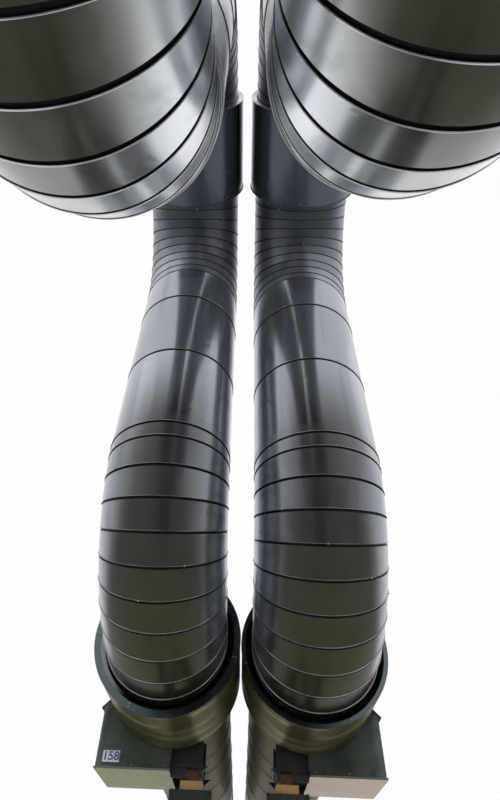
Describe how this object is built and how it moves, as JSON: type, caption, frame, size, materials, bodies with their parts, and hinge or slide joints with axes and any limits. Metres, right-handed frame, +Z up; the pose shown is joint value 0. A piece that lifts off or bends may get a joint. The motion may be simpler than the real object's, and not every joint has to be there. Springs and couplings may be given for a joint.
{
  "type": "industrial pipe bridge",
  "caption": "Portal-shaped pipe bridge: a pair of insulated, sheet-clad pipes rises on segmented bends, crosses over and comes down onto steel trestles.",
  "frame": {"origin": "on the ground, midway between the two pipes and midway between the two ends", "axes": "+X across the pair towards the right pipe, +Y along the pipeline towards the far end, +Z up"},
  "size_m": [2.452, 17.4, 8.1625],
  "materials": {
    "cladding": "glossy coated sheet steel in dark grey-green, faint brushing, dust in the laps",
    "sleeve_sheet": "coated sheet, olive tint, glossy",
    "housing_sheet": "satin dark blue-green coated sheet with small rivets",
    "support_steel": "black painted structural steel, dusty",
    "bearing": "tan bearing block, weathered",
    "carrier_pipe": "bare steel pipe with an even film of rust"
  },
  "bodies": {
    "root": {"left_near_low_run": "cladding", "left_near_lower_bend": "cladding", "left_near_riser": "cladding", "left_near_upper_bend": "cladding", "left_near_sleeve": "sleeve_sheet", "left_near_housing": "housing_sheet", "left_near_shoe": "support_steel", "left_near_post": "support_steel", "left_near_carrier_stub": "carrier_pipe", "left_far_low_run": "cladding", "left_far_lower_bend": "cladding", "left_far_riser": "cladding", "left_far_upper_bend": "cladding", "left_far_sleeve": "sleeve_sheet", "left_far_housing": "housing_sheet", "left_far_shoe": "support_steel", "left_far_post": "support_steel", "left_far_carrier_stub": "carrier_pipe", "right_near_low_run": "cladding", "right_near_lower_bend": "cladding", "right_near_riser": "cladding", "right_near_upper_bend": "cladding", "right_near_sleeve": "sleeve_sheet", "right_near_housing": "housing_sheet", "right_near_shoe": "support_steel", "right_near_post": "support_steel", "right_near_carrier_stub": "carrier_pipe", "right_far_low_run": "cladding", "right_far_lower_bend": "cladding", "right_far_riser": "cladding", "right_far_upper_bend": "cladding", "right_far_sleeve": "sleeve_sheet", "right_far_housing": "housing_sheet", "right_far_shoe": "support_steel", "right_far_post": "support_steel", "right_far_carrier_stub": "carrier_pipe", "left_high_run": "cladding", "left_crown_sleeve": "sleeve_sheet", "right_high_run": "cladding", "right_crown_sleeve": "sleeve_sheet", "near_bearings": "bearing", "near_tie_frame": "support_steel", "far_bearings": "bearing", "far_tie_frame": "support_steel"}
  },
  "joints": []
}
